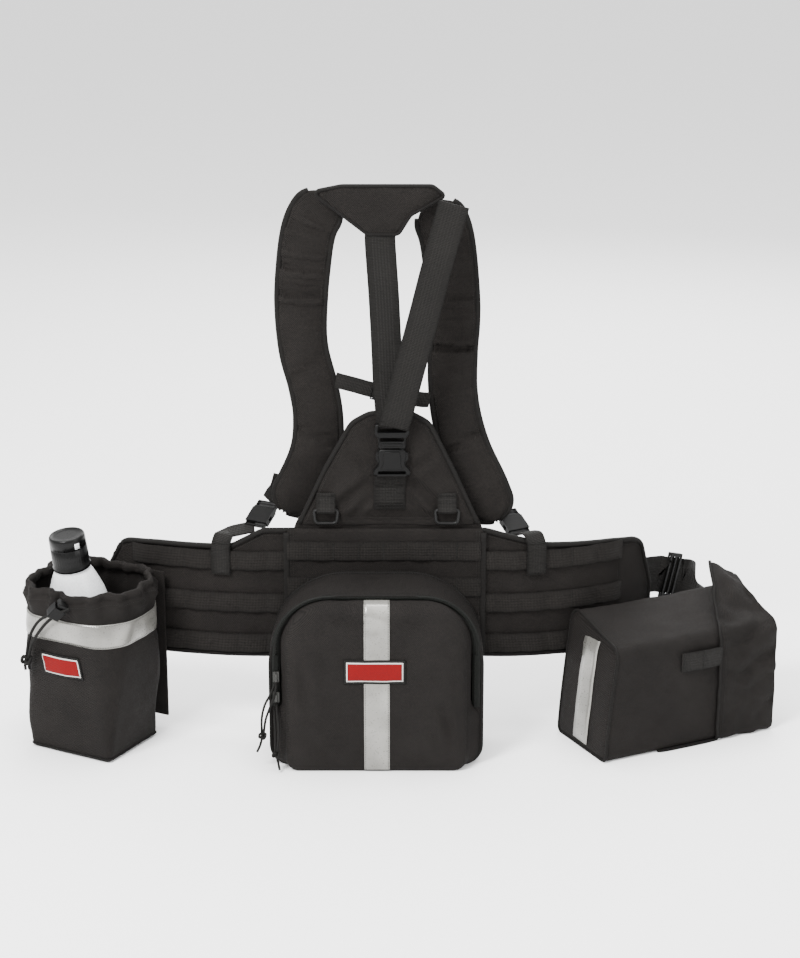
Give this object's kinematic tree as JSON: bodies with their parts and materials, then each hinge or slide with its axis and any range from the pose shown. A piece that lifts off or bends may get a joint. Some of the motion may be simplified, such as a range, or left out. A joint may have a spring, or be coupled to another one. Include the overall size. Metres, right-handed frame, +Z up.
{
  "type": "tool belt",
  "caption": "Padded load-bearing tool belt with webbing rows, shoulder harness, bottle pouch, zip pouch and side pouch.",
  "frame": {"origin": "middle of the footprint at the bottoms of the pouches", "axes": "+X along the belt to the viewer's right, +Y from the pouches towards the wearer, +Z up"},
  "size_m": [0.9594, 0.3326, 0.718],
  "materials": {
    "pad_fabric": "woven heavy nylon, warm black",
    "pouch_fabric": "woven heavy nylon, warm black",
    "webbing": "ribbed black webbing",
    "reflective": "silver retroreflective tape",
    "label": "plain woven label patch",
    "zip_tape": "zip tape with coil",
    "buckle_plastic": "black moulded acetal",
    "ring_metal": "black coated wire",
    "slider_metal": "dark coated metal",
    "bottle_white": "milky white bottle plastic",
    "cap_black": "black moulded cap",
    "cord": "braided black cord"
  },
  "bodies": {
    "belt": {"hip_pad_left": "pad_fabric", "hip_pad_right": "pad_fabric", "lumbar_panel": "pad_fabric", "webbing_rows_wings": "webbing", "webbing_rows_center": "webbing", "waist_strap_left": "webbing", "waist_strap_right": "webbing", "waist_plug": "buckle_plastic", "waist_socket": "buckle_plastic", "hanger_straps": "webbing", "side_left_socket": "buckle_plastic", "side_right_socket": "buckle_plastic", "bottle_pouch": "pouch_fabric", "bottle_pouch_back": "pouch_fabric", "bottle_band": "reflective", "bottle_label": "label", "cord_lock_body": "buckle_plastic", "draw_cord": "cord", "zip_pouch": "pouch_fabric", "zip_coil": "zip_tape", "reflective_tapes": "reflective", "shelter_pouch": "pouch_fabric", "shelter_webbing": "webbing"},
    "waist_slider": {"waist_slider": "buckle_plastic"},
    "waist_prong_front": {"waist_prong_front": "buckle_plastic"},
    "waist_prong_rear": {"waist_prong_rear": "buckle_plastic"},
    "harness": {"back_plate": "pad_fabric", "plate_tabs": "webbing", "yoke_pad": "pad_fabric", "shoulder_pad_left": "pad_fabric", "shoulder_pad_right": "pad_fabric", "yoke_strap": "webbing", "sternum_straps": "webbing", "sternum_socket": "buckle_plastic", "back_socket": "buckle_plastic", "side_straps": "webbing"},
    "ring_left": {"ring_left": "ring_metal"},
    "ring_right": {"ring_right": "ring_metal"},
    "back_plug": {"back_plug": "buckle_plastic", "strap_tail": "webbing"},
    "back_prong_left": {"back_prong_left": "buckle_plastic"},
    "back_prong_right": {"back_prong_right": "buckle_plastic"},
    "sternum_plug": {"sternum_plug": "buckle_plastic"},
    "side_left_plug": {"side_left_plug": "buckle_plastic"},
    "side_left_prong_left": {"side_left_prong_left": "buckle_plastic"},
    "side_left_prong_right": {"side_left_prong_right": "buckle_plastic"},
    "side_right_plug": {"side_right_plug": "buckle_plastic"},
    "side_right_prong_left": {"side_right_prong_left": "buckle_plastic"},
    "side_right_prong_right": {"side_right_prong_right": "buckle_plastic"},
    "bottle": {"bottle": "bottle_white"},
    "bottle_cap": {"bottle_cap": "cap_black"},
    "cord_lock_button": {"cord_lock_button": "buckle_plastic"},
    "zip_slider_upper": {"zip_slider_upper": "slider_metal", "pull_cord_upper": "cord"},
    "zip_slider_lower": {"zip_slider_lower": "slider_metal", "pull_cord_lower": "cord"},
    "zip_panel": {"zip_panel": "pouch_fabric", "zip_stripe_upper": "reflective", "zip_label": "label"},
    "shelter_flap": {"shelter_flap": "pouch_fabric"}
  },
  "joints": [
    {"name": "harness_fold", "type": "hinge", "parent": "belt", "child": "harness", "pos_m": [-0.0252, -0.0438, 0.281], "axis": [1, 0, 0], "range_deg": [0, 75], "deforming": ["side_straps"]},
    {"name": "back_buckle_slide", "type": "slide", "parent": "harness", "child": "back_plug", "axis": [0, 0, 1], "range_m": [0, 0.03], "deforming": ["yoke_strap"]},
    {"name": "back_prong_left_flex", "type": "hinge", "parent": "back_plug", "child": "back_prong_left", "pos_m": [-0.02785, -0.0521, 0.3938], "axis": [0, 1, 0], "range_deg": [-9, 0], "stiffness_Nm_per_rad": 0.4},
    {"name": "back_prong_right_flex", "type": "hinge", "parent": "back_plug", "child": "back_prong_right", "pos_m": [-0.00455, -0.0521, 0.3938], "axis": [0, 1, 0], "range_deg": [0, 9], "stiffness_Nm_per_rad": 0.4},
    {"name": "side_left_buckle_slide", "type": "slide", "parent": "belt", "child": "side_left_plug", "axis": [0.4206, 0.721, 0.5507], "range_m": [0, 0.02], "deforming": ["side_straps"]},
    {"name": "side_left_prong_left_flex", "type": "hinge", "parent": "side_left_plug", "child": "side_left_prong_left", "pos_m": [-0.18629, 0.00302, 0.2891], "axis": [0.292, 0.4672, -0.8346], "range_deg": [-9, 0], "stiffness_Nm_per_rad": 0.4},
    {"name": "side_left_prong_right_flex", "type": "hinge", "parent": "side_left_plug", "child": "side_left_prong_right", "pos_m": [-0.17333, -0.0047, 0.28931], "axis": [0.292, 0.4672, -0.8346], "range_deg": [0, 9], "stiffness_Nm_per_rad": 0.4},
    {"name": "side_right_buckle_slide", "type": "slide", "parent": "belt", "child": "side_right_plug", "axis": [-0.452, 0.7232, 0.5223], "range_m": [0, 0.02], "deforming": ["side_straps"]},
    {"name": "side_right_prong_left_flex", "type": "hinge", "parent": "side_right_plug", "child": "side_right_prong_left", "pos_m": [0.12906, 0.00065, 0.27624], "axis": [-0.2768, 0.4429, -0.8528], "range_deg": [-9, 0], "stiffness_Nm_per_rad": 0.4},
    {"name": "side_right_prong_right_flex", "type": "hinge", "parent": "side_right_plug", "child": "side_right_prong_right", "pos_m": [0.14185, 0.00865, 0.27624], "axis": [-0.2768, 0.4429, -0.8528], "range_deg": [0, 9], "stiffness_Nm_per_rad": 0.4},
    {"name": "waist_prong_rear_flex", "type": "hinge", "parent": "belt", "child": "waist_prong_rear", "pos_m": [0.42391, 0.13993, 0.0506], "axis": [-0.4061, -0.9138, 0], "range_deg": [-9, 0], "stiffness_Nm_per_rad": 0.4},
    {"name": "waist_prong_front_flex", "type": "hinge", "parent": "belt", "child": "waist_prong_front", "pos_m": [0.39569, 0.15247, 0.0506], "axis": [-0.4061, -0.9138, 0], "range_deg": [0, 9], "stiffness_Nm_per_rad": 0.4},
    {"name": "sternum_buckle_slide", "type": "slide", "parent": "harness", "child": "sternum_plug", "axis": [-0.973, 0, 0.2307], "range_m": [0, 0.016], "deforming": ["sternum_straps"]},
    {"name": "ring_left_swing", "type": "hinge", "parent": "harness", "child": "ring_left", "pos_m": [-0.0992, -0.0478, 0.305], "axis": [1, 0, 0], "range_deg": [-100, 0]},
    {"name": "ring_right_swing", "type": "hinge", "parent": "harness", "child": "ring_right", "pos_m": [0.0528, -0.0478, 0.305], "axis": [1, 0, 0], "range_deg": [-100, 0]},
    {"name": "bottle_lift", "type": "slide", "parent": "belt", "child": "bottle", "axis": [-0.1002, -0.1076, 0.9891], "range_m": [0, 0.15]},
    {"name": "bottle_cap_turn", "type": "hinge", "parent": "bottle", "child": "bottle_cap", "pos_m": [-0.3922, -0.0428, 0.0105], "axis": [-0.1002, -0.1076, 0.9891], "continuous": true},
    {"name": "cord_lock_press", "type": "slide", "parent": "belt", "child": "cord_lock_button", "axis": [-0.6685, 0.1459, -0.7293], "range_m": [0, 0.0026], "stiffness_N_per_m": 400},
    {"name": "zip_slider_upper_slide", "type": "slide", "parent": "belt", "child": "zip_slider_upper", "axis": [0, 0, 1], "range_m": [0, 0.028]},
    {"name": "zip_slider_lower_slide", "type": "slide", "parent": "belt", "child": "zip_slider_lower", "axis": [0, 0, 1], "range_m": [0, 0.01]},
    {"name": "zip_panel_fold", "type": "hinge", "parent": "belt", "child": "zip_panel", "pos_m": [-0.0357, -0.1638, 0.088], "axis": [1, 0, 0], "range_deg": [0, 75]},
    {"name": "shelter_flap_swing", "type": "hinge", "parent": "belt", "child": "shelter_flap", "pos_m": [0.42515, 0.07799, 0.08], "axis": [0, 0, 1], "range_deg": [0, 100]},
    {"name": "waist_slider_slide", "type": "slide", "parent": "belt", "child": "waist_slider", "axis": [0.7663, 0.5747, -0.2873], "range_m": [-0.005, 0.005]}
  ],
  "couplings": [
    {"joint": "back_prong_right_flex", "follows": "back_prong_left_flex", "ratio": -1},
    {"joint": "side_left_prong_right_flex", "follows": "side_left_prong_left_flex", "ratio": -1},
    {"joint": "side_right_prong_right_flex", "follows": "side_right_prong_left_flex", "ratio": -1},
    {"joint": "waist_prong_front_flex", "follows": "waist_prong_rear_flex", "ratio": -1}
  ]
}
